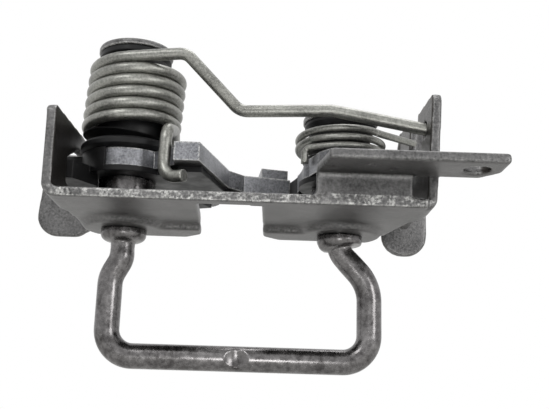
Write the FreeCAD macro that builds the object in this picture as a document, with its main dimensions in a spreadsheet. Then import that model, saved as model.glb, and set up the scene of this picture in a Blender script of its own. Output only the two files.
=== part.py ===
import FreeCAD, Part
import math
import os
import re
import Sketcher

# Hood latch, in millimetres. X runs across the latch, +Y runs the way the striker leaves, +Z is the side of
# the springs. The origin lies midway between the two ear bolts, on the face of the ears that is bolted up.
# Inside this file each body is drawn from the middle of the plate's near edge, on the plate's underside, and
# its Placement then carries it to the origin.

SIZES = {
    # the folded sheet
    "sheet": 3.0,
    "slot_root_width": 18.6,
    "slot_mouth_width": 20.4,
    "slot_root_y": 4.5,
    "lobe_depth": 44.5,
    "lobe_chamfer": 5.0,
    "left_wall_x": 54.0,
    "right_wall_x": 60.6,
    "left_splay": 1.0,
    "right_splay": 3.5,
    "left_wall_rise": 28.0,
    "left_wall_far_rise": 32.0,
    "left_foot_y": 18.0,
    "left_side_x": 50.6,
    "left_far_x": 48.8,
    "right_foot_y": 15.0,
    "right_side_x": 55.4,
    "right_far_x": 50.8,
    "side_near_y": 20.0,
    "side_far_y": 41.0,
    "lobe_outer_x": 40.0,
    "ear_near_y": 62.0,
    "outer_bend": 4.0,
    # the opening in the left wall
    "window_near_y": 18.5,
    "window_far_y": 55.5,
    "window_low_z": 9.4,
    "window_near_top": 16.9,
    "window_top": 26.0,
    "window_slope_y": 33.0,
    "wall_stub_y": 26.0,
    # the right near flange and the hole that holds the spring's long arm
    "near_flange_y": 3.2,
    "near_flange_foot": 21.5,
    "near_flange_neck": 16.0,
    "near_flange_neck_z": 27.0,
    "near_flange_head": 28.0,
    "near_flange_head_z": 33.5,
    "near_flange_rise": 37.0,
    "anchor_y": 14.0,
    "anchor_z": 28.4,
    "anchor_play": 0.55,
    # the right far flange
    "far_flange_y": 41.0,
    "far_flange_rise": 43.0,
    "right_wall_foot_z": 5.0,
    "wall_notch_z": 19.0,
    # the ears, which reach out past the walls
    "left_ear_reach": 17.5,
    "left_ear_top": 31.0,
    "right_ear_reach": 8.7,
    "right_ear_head_reach": 15.0,
    "right_ear_top": 44.0,
    "left_ear_foot_z": 0.7,
    "right_ear_foot_z": -2.5,
    "ear_inner_x": 53.0,
    "ear_round": 7.5,
    "ear_bolt_x": 60.5,
    "ear_bolt_z": 16.5,
    "ear_bolt_hole": 8.4,
    "bolt_room": 8.4,
    # the step and its tab
    "step_left_x": 25.0,
    "step_right_x": 52.8,
    "tab_low_z": 9.6,
    "tab_reach": 15.0,
    "tab_left_x": 27.6,
    "tab_right_x": 77.5,
    "tab_back_y": 1.6,
    "tab_hole_x": 69.9,
    "tab_hole_y": 6.3,
    "tab_hole": 7.6,
    "dimple": 1.3,
    "dimple_depth": 0.6,
    # the embossed lobes
    "emboss_drop": 2.0,
    "emboss_radius": 14.3,
    "emboss_near_y": 31.0,
    "emboss_slope": 1.6,
    "emboss_inset": 1.0,
    # the bar of the guard loop, whose two shanks are the pivot pins
    "bar_width": 8.0,
    "pin_x": 35.2,
    "pin_y": 36.0,
    "collar_radius": 7.35,
    "collar_rise": 3.0,
    "loop_drop": 42.3,
    "left_jog": 3.0,
    "right_jog": 9.8,
    "jog_top_z": 7.0,
    "jog_low_z": 17.5,
    "jog_bend": 8.0,
    "loop_corner": 8.0,
    "stake_rise": 1.6,
    "stake_radius": 5.6,
    "flat_x": 3.0,
    "flat_reach": 3.65,
    "flat_depth": 0.8,
    # clearances
    "pin_play": 0.06,
    "seat_play": 0.2,
    "contact_play": 0.3,
    "pawl_play": 0.6,
    # the two stacks, as heights over the plate's underside
    "plate_low_z": 16.0,
    "plate_rise": 6.0,
    "skin": 1.8,
    "hub_radius": 14.3,
    "cover_radius": 15.2,
    "spacer_radius": 9.3,
    "flange_radius": 16.0,
    "flange_rise": 3.6,
    "neck_radius": 10.4,
    "seat_radius": 15.8,
    "seat_high_z": 7.3,
    "seat_low_z": 5.1,
    "post_radius": 11.0,
    "head_low_z": 33.4,
    "spool_radius": 12.1,
    "ratchet_cap_z": 58.4,
    "pawl_cap_z": 36.4,
    "pawl_flange_radius": 12.4,
    "pawl_flange_rise": 1.8,
    "pawl_post_radius": 10.0,
    "pawl_flare_radius": 12.0,
    "pawl_flare_rise": 2.6,
    "cap_radius": 12.55,
    "cap_rise": 2.1,
    "cap_edge": 0.6,
    # the ratchet in plan
    "lug_near_y": 14.0,
    "lug_left_x": 18.2,
    "lug_right_x": 10.3,
    "lug_back_y": 19.4,
    "edge_x": 2.0,
    "edge_y": 45.0,
    "arm_near_x": 3.0,
    "arm_near_y": 50.5,
    "nose_radius": 57.6,
    "nose_near_x": 21.0,
    "nose_near_y": 55.0,
    "nose_far_x": 18.0,
    "nose_far_y": 66.0,
    "nose_rise": 3.6,
    "throat_x": 6.4,
    "throat_y": 57.0,
    "throat_radius": 6.5,
    "throat_turn": 30.0,
    "throat_reach": 11.5,
    "keeper_x": 13.0,
    "keeper_y": 74.0,
    "keeper_back_x": 24.0,
    "keeper_back_y": 66.5,
    # the left arm of the ratchet and the plastic buffer that meets the wall
    "arm_end_x": 58.0,
    "arm_near_side_y": 34.5,
    "arm_far_side_y": 45.0,
    "arm_core_inset": 2.4,
    "arm_core_skin": 1.6,
    "band_x": 40.6,
    "buffer_inner_x": 49.6,
    "buffer_root_y": 28.0,
    "buffer_low_z": 10.6,
    "buffer_rise": 5.7,
    # the pawl in plan
    "pawl_hub_radius": 13.6,
    "pawl_near_x": 30.4,
    "pawl_near_y": 15.5,
    "pawl_side_x": 27.1,
    "pawl_side_y": 20.0,
    "pawl_face_x": 24.9,
    "pawl_face_y": 27.0,
    "pawl_tip_y": 48.0,
    "pawl_far_y": 50.3,
    "pawl_tail_x": 55.0,
    "pawl_tail_y": 29.0,
    "pawl_tail_far_y": 42.0,
    "pawl_wrap": 1.5,
    # the springs
    "ratchet_wire": 3.9,
    "ratchet_coil_radius": 14.5,
    "ratchet_pitch": 3.98,
    "ratchet_coil_z": 30.0,
    "ratchet_coil_lean": 3.5,
    "ratchet_coil_rest": 90.0,
    "hook_run": 6.0,
    "hook_y": 16.6,
    "hook_top_z": 24.4,
    "hook_low_z": 11.0,
    "hook_end_x": 12.8,
    "shoulder_x": 18.0,
    "knee_x": 1.5,
    "knee_y": 21.0,
    "knee_z": 35.0,
    "elbow_x": 31.0,
    "elbow_y": 18.0,
    "elbow_z": 35.2,
    "wire_bend": 5.0,
    "hook_bend": 3.4,
    "pawl_wire": 2.4,
    "pawl_coil_radius": 14.0,
    "pawl_pitch": 2.9,
    "pawl_coil_z": 25.2,
    "pawl_start": 240.0,
    "pawl_coil_rest": 80.0,
    "pawl_foot_run": 6.0,
    "pawl_leg_low_z": 20.0,
    "pawl_wire_bend": 2.2,
    "pawl_leg_z": 32.3,
    "far_rest_x": 60.9,
}

RATCHET_HALF_TURNS = 11
PAWL_HALF_TURNS = 4

doc = FreeCAD.newDocument("hood_latch")
sheet_of_sizes = doc.addObject("Spreadsheet::Sheet", "Sizes")
for row, (alias, size) in enumerate(SIZES.items(), start=1):
    sheet_of_sizes.set(f"A{row}", alias)
    sheet_of_sizes.set(f"B{row}", str(size))
    sheet_of_sizes.setAlias(f"B{row}", alias)
doc.recompute()

FUNCTIONS = {"sqrt", "sin", "cos", "tan", "atan"}


def spell(rule):
    """The rule with each size's name led by the name of its sheet."""
    return re.sub(r"[A-Za-z_]+", lambda w: w[0] if w[0] in FUNCTIONS else "Sizes." + w[0], rule)


def amount(rule):
    """The number that a rule gives now."""
    found = sheet_of_sizes.evalExpression(spell(rule))
    return float(getattr(found, "Value", found))


def tie(thing, path, rule):
    """Binds one property to a rule over the sheet."""
    thing.setExpression(path, spell(rule))


def new_body(name, x="0", y="0", z="0"):
    """A body whose own origin lies at x, y, z over the plate's near edge."""
    body = doc.addObject("PartDesign::Body", name)
    body.Label = name
    tie(body, "Placement.Base.x", x)
    tie(body, "Placement.Base.y", f"({y}) - ear_near_y - sheet")
    tie(body, "Placement.Base.z", f"({z}) - ear_bolt_z")
    return body


def new_sketch(body, name, plane="XY", lift="0"):
    """A sketch on one of the body's own planes, lifted along the plane's normal."""
    sketch = body.newObject("Sketcher::SketchObject", name)
    support = next(o for o in body.Origin.OriginFeatures if o.Role == f"{plane}_Plane")
    sketch.AttachmentSupport = (support, "")
    sketch.MapMode = "FlatFace"
    tie(sketch, "AttachmentOffset.Base.z", lift)
    return sketch


def fix(sketch, kind, geometry, end, rule):
    """Places one end of a line, or one centre, by a rule."""
    index = sketch.addConstraint(Sketcher.Constraint(kind, geometry, end, amount(rule)))
    tie(sketch, f"Constraints[{index}]", rule)


def draw_outline(sketch, corners):
    """A closed outline of straight lines through corners, each a pair of rules."""
    points = [FreeCAD.Vector(amount(x), amount(y), 0) for x, y in corners]
    first = sketch.GeometryCount
    count = len(points)
    for i in range(count):
        sketch.addGeometry(Part.LineSegment(points[i], points[(i + 1) % count]))
    for i in range(count):
        sketch.addConstraint(Sketcher.Constraint("Coincident", first + i, 2, first + (i + 1) % count, 1))
    for i, (x, y) in enumerate(corners):
        fix(sketch, "DistanceX", first + i, 1, x)
        fix(sketch, "DistanceY", first + i, 1, y)


def draw_circle(sketch, x, y, radius):
    """A circle with its centre and radius tied to rules."""
    middle = FreeCAD.Vector(amount(x), amount(y), 0)
    index = sketch.addGeometry(Part.Circle(middle, FreeCAD.Vector(0, 0, 1), amount(radius)))
    fix(sketch, "DistanceX", index, 3, x)
    fix(sketch, "DistanceY", index, 3, y)
    size = sketch.addConstraint(Sketcher.Constraint("Radius", index, amount(radius)))
    tie(sketch, f"Constraints[{size}]", radius)


def draw_bend(sketch, mark, wall_x, inset, radius, splay):
    """The waste outside a bend: its arc touches the floor and the leaning wall, its other sides lie clear."""
    side = -1 if mark else 1
    reach = amount(radius)
    lean = math.radians(amount(splay))
    middle = FreeCAD.Vector(side * (amount(wall_x) - amount(inset)), reach, 0)
    foot = middle - FreeCAD.Vector(0, reach, 0)
    touch = middle + FreeCAD.Vector(side * math.cos(lean), -math.sin(lean), 0) * reach
    turn = [-math.pi / 2, -lean] if side > 0 else [math.pi + lean, math.pi * 1.5]
    arc = sketch.addGeometry(Part.ArcOfCircle(Part.Circle(middle, FreeCAD.Vector(0, 0, 1), reach), *turn))
    out_rule = f"{mark}({wall_x} + 2)"
    side_z = f"{radius} * (1 - sin({splay}))"
    side_x = f"{mark}({wall_x} - {inset} + {radius} * cos({splay}))"
    foot_x = f"{mark}({wall_x} - {inset})"
    stops = [(side_x, side_z), (out_rule, side_z), (out_rule, "-1"), (foot_x, "-1"), (foot_x, "0")]
    points = [FreeCAD.Vector(amount(x), amount(y), 0) for x, y in stops]
    lines = [sketch.addGeometry(Part.LineSegment(a, b)) for a, b in zip(points, points[1:])]
    for a, b in zip(lines, lines[1:]):
        sketch.addConstraint(Sketcher.Constraint("Coincident", a, 2, b, 1))
    for line, (x, y) in zip(lines, stops):
        fix(sketch, "DistanceX", line, 1, x)
        fix(sketch, "DistanceY", line, 1, y)
    fix(sketch, "DistanceX", lines[-1], 2, foot_x)
    fix(sketch, "DistanceY", lines[-1], 2, "0")
    ends = (1, 2) if side > 0 else (2, 1)
    sketch.addConstraint(Sketcher.Constraint("Coincident", arc, ends[0], lines[-1], 2))
    sketch.addConstraint(Sketcher.Constraint("Coincident", arc, ends[1], lines[0], 1))
    size = sketch.addConstraint(Sketcher.Constraint("Radius", arc, reach))
    tie(sketch, f"Constraints[{size}]", radius)


def draw_path(sketch, corners, bends):
    """Straight runs through the corners, with a tangent arc of the given radius at each inner corner."""
    points = [FreeCAD.Vector(amount(x), amount(y), 0) for x, y in corners]
    starts = [points[0]]
    arcs = []
    for before, corner, after, bend in zip(points, points[1:], points[2:], bends):
        to_before = (before - corner).normalize()
        to_after = (after - corner).normalize()
        half = math.acos(to_before.dot(to_after)) / 2
        radius = amount(bend)
        first = corner + to_before * (radius / math.tan(half))
        last = corner + to_after * (radius / math.tan(half))
        middle = corner + (to_before + to_after).normalize() * (radius / math.sin(half))
        left_turn = to_before.cross(to_after).z < 0
        low, high = (first, last) if left_turn else (last, first)
        angle = math.atan2(low.y - middle.y, low.x - middle.x)
        circle = Part.Circle(middle, FreeCAD.Vector(0, 0, 1), radius)
        arcs.append((Part.ArcOfCircle(circle, angle, angle + math.pi - 2 * half), left_turn))
        starts += [first, last]
    starts.append(points[-1])
    lines = [sketch.addGeometry(Part.LineSegment(a, b)) for a, b in zip(starts[::2], starts[1::2])]
    for i, (arc, left_turn) in enumerate(arcs):
        bent = sketch.addGeometry(arc)
        ends = (1, 2) if left_turn else (2, 1)
        sketch.addConstraint(Sketcher.Constraint("Tangent", lines[i], 2, bent, ends[0]))
        sketch.addConstraint(Sketcher.Constraint("Tangent", bent, ends[1], lines[i + 1], 1))
        size = sketch.addConstraint(Sketcher.Constraint("Radius", bent, amount(bends[i])))
        tie(sketch, f"Constraints[{size}]", bends[i])
        mark = sketch.addGeometry(Part.Point(points[i + 1]), True)
        sketch.addConstraint(Sketcher.Constraint("PointOnObject", mark, 1, lines[i]))
        sketch.addConstraint(Sketcher.Constraint("PointOnObject", mark, 1, lines[i + 1]))
        fix(sketch, "DistanceX", mark, 1, corners[i + 1][0])
        fix(sketch, "DistanceY", mark, 1, corners[i + 1][1])
    fix(sketch, "DistanceX", lines[0], 1, corners[0][0])
    fix(sketch, "DistanceY", lines[0], 1, corners[0][1])
    fix(sketch, "DistanceX", lines[-1], 2, corners[-1][0])
    fix(sketch, "DistanceY", lines[-1], 2, corners[-1][1])


def pad(body, sketch, length, name, back=False, slope=None):
    """Material of one thickness on a sketch."""
    feature = body.newObject("PartDesign::Pad", name)
    feature.Profile = sketch
    tie(feature, "Length", length)
    feature.Reversed = back
    if slope:
        tie(feature, "TaperAngle", slope)
    doc.recompute()
    return feature


def pocket(body, sketch, length, name, back=False, slope=None):
    """A recess on a sketch. It has to take material away."""
    before = body.Shape.Volume
    feature = body.newObject("PartDesign::Pocket", name)
    feature.Profile = sketch
    tie(feature, "Length", length)
    feature.Reversed = back
    if slope:
        tie(feature, "TaperAngle", slope)
    doc.recompute()
    if body.Shape.Volume > before - 0.001:
        raise ValueError(f"{name} cuts nothing")
    return feature


def round_edges(body, chooser, radius, name):
    """Rounds every edge that the chooser picks."""
    picked = [f"Edge{i}" for i, edge in enumerate(body.Tip.Shape.Edges, start=1) if chooser(edge)]
    if not picked:
        raise ValueError(f"{name} finds no edge")
    base = body.Tip
    feature = body.newObject("PartDesign::Fillet", name)
    feature.Base = (base, picked)
    tie(feature, "Radius", radius)
    doc.recompute()
    return feature


def along_y_at(*places):
    """Chooses edges along Y at one of the places, each a pair of rules for X and Z."""
    spots = [(amount(x), amount(z)) for x, z in places]

    def chooser(edge):
        ends = [v.Point for v in edge.Vertexes]
        if len(ends) != 2 or abs(ends[0].y - ends[1].y) < 0.5:
            return False
        return all(any(math.hypot(e.x - x, e.z - z) < 0.2 for x, z in spots) for e in ends)

    return chooser


def turned(body, name, profile, plane="XZ"):
    """A piece turned about its own Z axis from a profile of radius and height rules."""
    sketch = new_sketch(body, name + "_profile", plane)
    draw_outline(sketch, profile)
    feature = body.newObject("PartDesign::Revolution", name)
    feature.Profile = sketch
    feature.ReferenceAxis = (sketch, ["V_Axis"])
    feature.Angle = 360
    doc.recompute()
    return feature


# Base plate: the floor with the striker slot, the folded walls, the ears, the step and the embossed lobes
plate = new_body("base_plate")
floor = new_sketch(plate, "floor_outline")
draw_outline(floor, [
    ("-left_wall_x", "0"),
    ("right_wall_x - sheet", "0"),
    ("right_wall_x - sheet", "near_flange_y"),
    ("right_wall_x", "near_flange_y"),
    ("right_wall_x", "right_foot_y"),
    ("right_side_x", "side_near_y"),
    ("right_far_x", "side_far_y"),
    ("lobe_outer_x", "lobe_depth"),
    ("slot_mouth_width / 2 + lobe_chamfer", "lobe_depth"),
    ("slot_mouth_width / 2", "lobe_depth - lobe_chamfer"),
    ("slot_root_width / 2", "slot_root_y"),
    ("-slot_root_width / 2", "slot_root_y"),
    ("-slot_mouth_width / 2", "lobe_depth - lobe_chamfer"),
    ("-slot_mouth_width / 2 - lobe_chamfer", "lobe_depth"),
    ("-lobe_outer_x", "lobe_depth"),
    ("-left_far_x", "side_far_y"),
    ("-left_side_x", "side_near_y"),
    ("-left_wall_x", "left_foot_y"),
])
pad(plate, floor, "sheet", "floor")

left_wall = new_sketch(plate, "left_wall_outline", "YZ", "-left_wall_x")
left_wall.AttachmentOffset = FreeCAD.Placement(
    FreeCAD.Vector(0, 0, amount("-left_wall_x")),
    FreeCAD.Rotation(FreeCAD.Vector(1, 0, 0), -amount("left_splay")))
tie(left_wall, "AttachmentOffset.Base.z", "-left_wall_x")
draw_outline(left_wall, [
    ("0", "0"),
    ("left_foot_y", "0"),
    ("wall_stub_y", "window_low_z - 4"),
    ("wall_stub_y - 2", "window_low_z - 1"),
    ("window_near_y", "window_low_z"),
    ("window_near_y", "window_near_top"),
    ("window_slope_y", "window_top - 2.5"),
    ("window_far_y", "window_top"),
    ("window_far_y", "sheet * 2"),
    ("ear_near_y + sheet / 2", "sheet * 2"),
    ("ear_near_y + sheet / 2", "left_wall_far_rise"),
    ("1.6", "left_wall_rise"),
    ("0", "left_wall_rise - 1.6"),
])
pad(plate, left_wall, "sheet", "left_wall")

right_wall = new_sketch(plate, "right_wall_outline", "YZ", "right_wall_x")
right_wall.AttachmentOffset = FreeCAD.Placement(
    FreeCAD.Vector(0, 0, amount("right_wall_x")),
    FreeCAD.Rotation(FreeCAD.Vector(1, 0, 0), amount("right_splay")))
tie(right_wall, "AttachmentOffset.Base.z", "right_wall_x")
draw_outline(right_wall, [
    ("near_flange_y", "0"),
    ("right_foot_y", "0"),
    ("side_near_y + 2", "right_wall_foot_z"),
    ("ear_near_y - bolt_room", "right_wall_foot_z"),
    ("ear_near_y - bolt_room", "ear_bolt_z + bolt_room"),
    ("ear_near_y + sheet / 2", "ear_bolt_z + bolt_room"),
    ("ear_near_y + sheet / 2", "far_flange_rise + 1"),
    ("far_flange_y + 6", "far_flange_rise"),
    ("far_flange_y", "far_flange_rise - 5"),
    ("far_flange_y", "wall_notch_z"),
    ("near_flange_foot", "wall_notch_z"),
    ("near_flange_foot", "near_flange_neck_z - 3"),
    ("near_flange_neck + 1", "near_flange_neck_z"),
    ("near_flange_neck + 3", "near_flange_head_z - 3"),
    ("near_flange_head", "near_flange_head_z"),
    ("near_flange_head", "near_flange_rise + 1.5"),
    ("near_flange_y + 2", "near_flange_rise"),
    ("near_flange_y", "near_flange_rise - 3"),
])
pad(plate, right_wall, "sheet", "right_wall", back=True)
anchor = new_sketch(plate, "anchor_outline", "YZ", "right_wall_x + sheet * 2")
draw_circle(anchor, "anchor_y", "anchor_z", "ratchet_wire / 2 + anchor_play")
pocket(plate, anchor, "sheet * 4", "anchor_hole")

left_ear = new_sketch(plate, "left_ear_outline", "XZ", "-ear_near_y - sheet")
draw_outline(left_ear, [
    ("-left_wall_x + sheet", "left_ear_foot_z + 3"),
    ("-ear_inner_x - 3", "left_ear_foot_z"),
    ("-left_wall_x - left_ear_reach", "left_ear_foot_z"),
    ("-left_wall_x - left_ear_reach + 2", "left_ear_top - 7"),
    ("-left_wall_x - left_ear_reach + 7", "left_ear_top"),
    ("-left_wall_x + sheet - 0.5", "left_ear_top"),
])
pad(plate, left_ear, "sheet", "left_ear")

right_ear = new_sketch(plate, "right_ear_outline", "XZ", "-ear_near_y - sheet")
draw_outline(right_ear, [
    ("right_wall_x - sheet", "ear_bolt_z + bolt_room"),
    ("ear_inner_x + 3", "ear_bolt_z + bolt_room"),
    ("ear_inner_x", "ear_bolt_z + bolt_room - 3"),
    ("ear_inner_x", "right_ear_foot_z"),
    ("right_wall_x + right_ear_reach", "right_ear_foot_z"),
    ("right_wall_x + right_ear_reach", "right_ear_top * 0.5"),
    ("right_wall_x + right_ear_head_reach", "right_ear_top * 0.65"),
    ("right_wall_x + right_ear_head_reach - 1", "right_ear_top * 0.86"),
    ("right_wall_x + right_ear_head_reach - 5", "right_ear_top"),
    ("right_wall_x - 0.6", "right_ear_top"),
])
pad(plate, right_ear, "sheet", "right_ear")
round_edges(plate, along_y_at(
    ("-left_wall_x - left_ear_reach", "left_ear_foot_z"),
    ("ear_inner_x", "right_ear_foot_z"),
    ("right_wall_x + right_ear_reach", "right_ear_foot_z")), "ear_round", "ear_corners")
round_edges(plate, along_y_at(
    ("-left_wall_x - left_ear_reach + 2", "left_ear_top - 7"),
    ("-ear_inner_x - 3", "left_ear_foot_z"),
    ("right_wall_x + right_ear_head_reach - 1", "right_ear_top * 0.86")), "ear_round * 0.7", "ear_heads")
for side, mark in (("left", "-"), ("right", "")):
    bolt = new_sketch(plate, f"{side}_bolt_outline", "XZ", "-ear_near_y - sheet * 2")
    draw_circle(bolt, f"{mark}ear_bolt_x", "ear_bolt_z", "ear_bolt_hole / 2")
    pocket(plate, bolt, "sheet * 3", f"{side}_bolt_hole", back=True)

step = new_sketch(plate, "step_outline")
draw_outline(step, [
    ("step_left_x", "0"),
    ("step_right_x", "0"),
    ("step_right_x", "sheet"),
    ("step_left_x", "sheet"),
])
pad(plate, step, "tab_low_z + sheet", "step")
tab = new_sketch(plate, "tab_outline", "XY", "tab_low_z")
draw_outline(tab, [
    ("step_left_x", "sheet"),
    ("step_left_x", "0"),
    ("tab_left_x - 1", "-tab_reach * 0.55"),
    ("tab_left_x", "-tab_reach"),
    ("tab_right_x", "-tab_reach"),
    ("tab_right_x", "-tab_reach * 0.3"),
    ("tab_right_x - 5", "tab_back_y"),
    ("step_right_x", "tab_back_y"),
    ("step_right_x", "sheet"),
])
pad(plate, tab, "sheet", "tab")
tab_hole = new_sketch(plate, "tab_hole_outline", "XY", "tab_low_z - sheet")
draw_circle(tab_hole, "tab_hole_x", "-tab_hole_y", "tab_hole / 2")
pocket(plate, tab_hole, "sheet * 3", "tab_hole", back=True)
for count, (x, y) in enumerate((("29.6", "-tab_reach * 0.42"), ("39.5", "-tab_reach * 0.62"),
                                ("46.3", "-tab_reach * 0.38")), start=1):
    pit = new_sketch(plate, f"dimple_outline_{count}", "XY", "tab_low_z")
    draw_circle(pit, x, y, "dimple")
    pocket(plate, pit, "dimple_depth", f"dimple_{count}", back=True)

slot_outline = [
    ("slot_root_width / 2", "slot_root_y"),
    ("slot_mouth_width / 2", "lobe_depth - lobe_chamfer"),
    ("slot_mouth_width / 2 + lobe_chamfer", "lobe_depth"),
    ("-slot_mouth_width / 2 - lobe_chamfer", "lobe_depth"),
    ("-slot_mouth_width / 2", "lobe_depth - lobe_chamfer"),
    ("-slot_root_width / 2", "slot_root_y"),
]
for side, mark in (("left", "-"), ("right", "")):
    strip = new_sketch(plate, f"{side}_emboss_outline", "YZ", f"{mark}pin_x")
    draw_outline(strip, [
        ("emboss_near_y", "0"),
        ("lobe_depth", "0"),
        ("lobe_depth", "-emboss_drop"),
        ("emboss_near_y + emboss_slope", "-emboss_drop"),
    ])
    pad(plate, strip, "pin_x - slot_root_width / 2 + 1", f"{side}_emboss", back=side == "right")
    boss = new_sketch(plate, f"{side}_boss_outline", "XY", "-emboss_drop")
    draw_circle(boss, f"{mark}pin_x", "pin_y", "emboss_radius - emboss_slope")
    pad(plate, boss, "emboss_drop", f"{side}_boss", slope="atan(emboss_slope / emboss_drop)")
trim = new_sketch(plate, "lobe_trim_outline")
draw_outline(trim, [
    ("-lobe_outer_x - 8", "lobe_depth"),
    ("lobe_outer_x + 8", "lobe_depth"),
    ("lobe_outer_x + 8", "pin_y + emboss_radius + 1"),
    ("-lobe_outer_x - 8", "pin_y + emboss_radius + 1"),
])
pocket(plate, trim, "emboss_drop + 1", "lobe_trim")
slot_trim = new_sketch(plate, "slot_trim_outline")
draw_outline(slot_trim, slot_outline)
pocket(plate, slot_trim, "emboss_drop + 1", "slot_trim")
for side, mark in (("left", "-"), ("right", "")):
    recess = new_sketch(plate, f"{side}_recess_outline", "XY", "sheet")
    draw_outline(recess, [
        (f"{mark}(slot_root_width / 2 - 1)", "emboss_near_y + emboss_inset"),
        (f"{mark}(slot_root_width / 2 - 1)", "lobe_depth + 1"),
        (f"{mark}pin_x", "lobe_depth + 1"),
        (f"{mark}pin_x", "emboss_near_y + emboss_inset"),
    ])
    pocket(plate, recess, "emboss_drop", f"{side}_recess")
    dish = new_sketch(plate, f"{side}_dish_outline", "XY", "sheet")
    draw_circle(dish, f"{mark}pin_x", "pin_y", "emboss_radius - emboss_inset")
    pocket(plate, dish, "emboss_drop", f"{side}_dish")
    bore = new_sketch(plate, f"{side}_pin_outline", "XY", "-emboss_drop * 2")
    draw_circle(bore, f"{mark}pin_x", "pin_y", "bar_width / 2 + pin_play")
    pocket(plate, bore, "sheet * 4", f"{side}_pin_hole", back=True)

for side, mark, flip in (("left", "-", 180), ("right", "", 0)):
    bend = new_sketch(plate, f"{side}_bend_outline", "XZ", "0")
    inset = f"outer_bend * (1 - sin({side}_splay)) / cos({side}_splay)"
    draw_bend(bend, mark, f"{side}_wall_x", inset, "outer_bend", f"{side}_splay")
    pocket(plate, bend, "side_near_y * 2", f"{side}_bend")

# Guard loop: one round bar, bent flat, whose shanks pass through the plate and carry the two stacks
loop = new_body("guard_loop", "0", "pin_y")
path = new_sketch(loop, "loop_path", "XZ")
draw_path(path, [
    ("-pin_x", "ratchet_cap_z + cap_rise"),
    ("-pin_x", "-jog_top_z"),
    ("-pin_x - left_jog", "-jog_low_z"),
    ("-pin_x - left_jog", "-loop_drop"),
    ("pin_x + right_jog", "-loop_drop"),
    ("pin_x + right_jog", "-jog_low_z"),
    ("pin_x", "-jog_top_z"),
    ("pin_x", "pawl_cap_z + cap_rise"),
], ["jog_bend", "jog_bend", "loop_corner", "loop_corner", "jog_bend", "jog_bend"])
bar_section = new_sketch(loop, "bar_section", "XY", "ratchet_cap_z + cap_rise")
draw_circle(bar_section, "-pin_x", "0", "bar_width / 2")
sweep = loop.newObject("PartDesign::AdditivePipe", "bent_bar")
sweep.Profile = bar_section
sweep.Spine = (path, [f"Edge{i}" for i in range(1, len(path.Shape.Edges) + 1)])
doc.recompute()
for side, mark, top in (("left", "-", "ratchet_cap_z"), ("right", "", "pawl_cap_z")):
    collar = new_sketch(loop, f"{side}_collar_outline", "XY", "-emboss_drop - collar_rise")
    draw_circle(collar, f"{mark}pin_x", "0", "collar_radius")
    pad(loop, collar, "collar_rise", f"{side}_collar")
    head = new_sketch(loop, f"{side}_stake_outline", "XY", f"{top} + cap_rise")
    draw_circle(head, f"{mark}pin_x", "0", "stake_radius")
    pad(loop, head, "stake_rise", f"{side}_stake")
flat = new_sketch(loop, "flat_outline", "XZ", "bar_width / 2")
draw_circle(flat, "flat_x", "-loop_drop", "flat_reach")
pocket(loop, flat, "flat_depth", "flat")

# Spacers: plain steel rings that hold each stack clear of the floor
bore_radius = "bar_width / 2 + pin_play"
for name, mark in (("ratchet_spacer", "-"), ("pawl_spacer", "")):
    spacer = new_body(name, f"{mark}pin_x", "pin_y", "sheet - emboss_drop")
    rise = "plate_low_z - skin - seat_play - sheet + emboss_drop"
    turned(spacer, "ring", [
        (bore_radius, "0"),
        ("spacer_radius", "0"),
        ("spacer_radius", rise),
        (bore_radius, rise),
    ])

# Ratchet bush: a moulded spool whose flange keeps the ratchet down and whose bowl seats the coil
bush_low_z = "plate_low_z + plate_rise + seat_play"
bush = new_body("ratchet_bush", "-pin_x", "pin_y", bush_low_z)
turned(bush, "flange_and_bowl", [
    (bore_radius, "0"),
    ("flange_radius - 1", "0"),
    ("flange_radius", "1"),
    ("flange_radius", "flange_rise - 1"),
    ("flange_radius - 0.7", "flange_rise - 0.2"),
    ("flange_radius - 2", "flange_rise"),
    ("neck_radius", "flange_rise + 0.2"),
    ("neck_radius + 0.4", "flange_rise + 1"),
    ("neck_radius + 2", "flange_rise + 2.1"),
    ("seat_radius - 0.6", "flange_rise + 3.2"),
    ("seat_radius", "seat_high_z"),
    (bore_radius, "seat_high_z"),
])
slant = new_sketch(bush, "seat_slant_outline", "XZ", "-flange_radius - 2")
draw_outline(slant, [
    ("-seat_radius - 1", "seat_high_z"),
    ("seat_radius + 1", "seat_low_z"),
    ("seat_radius + 1", "seat_high_z + 2"),
    ("-seat_radius - 1", "seat_high_z + 2"),
])
pocket(bush, slant, "flange_radius * 2 + 4", "seat_slant", back=True)
turned(bush, "post", [
    (bore_radius, "1"),
    ("post_radius", "1"),
    ("post_radius", "head_low_z"),
    ("spool_radius", "head_low_z + 1"),
    ("spool_radius", f"ratchet_cap_z - seat_play - ({bush_low_z})"),
    (bore_radius, f"ratchet_cap_z - seat_play - ({bush_low_z})"),
])

# Pawl bush: the smaller spool, with a flange at the pawl and a flared head under its cap
pawl_bush = new_body("pawl_bush", "pin_x", "pin_y", bush_low_z)
head_z = f"pawl_cap_z - seat_play - ({bush_low_z})"
turned(pawl_bush, "spool", [
    (bore_radius, "0"),
    ("pawl_flange_radius - 0.4", "0"),
    ("pawl_flange_radius", "0.5"),
    ("pawl_flange_radius", "pawl_flange_rise - 0.4"),
    ("pawl_flange_radius - 0.5", "pawl_flange_rise"),
    ("pawl_post_radius", "pawl_flange_rise + 0.2"),
    ("pawl_post_radius", f"{head_z} - pawl_flare_rise - 2"),
    ("pawl_post_radius + 0.6", f"{head_z} - pawl_flare_rise - 0.6"),
    ("pawl_flare_radius", f"{head_z} - pawl_flare_rise * 0.4"),
    ("pawl_flare_radius", head_z),
    (bore_radius, head_z),
])

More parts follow.
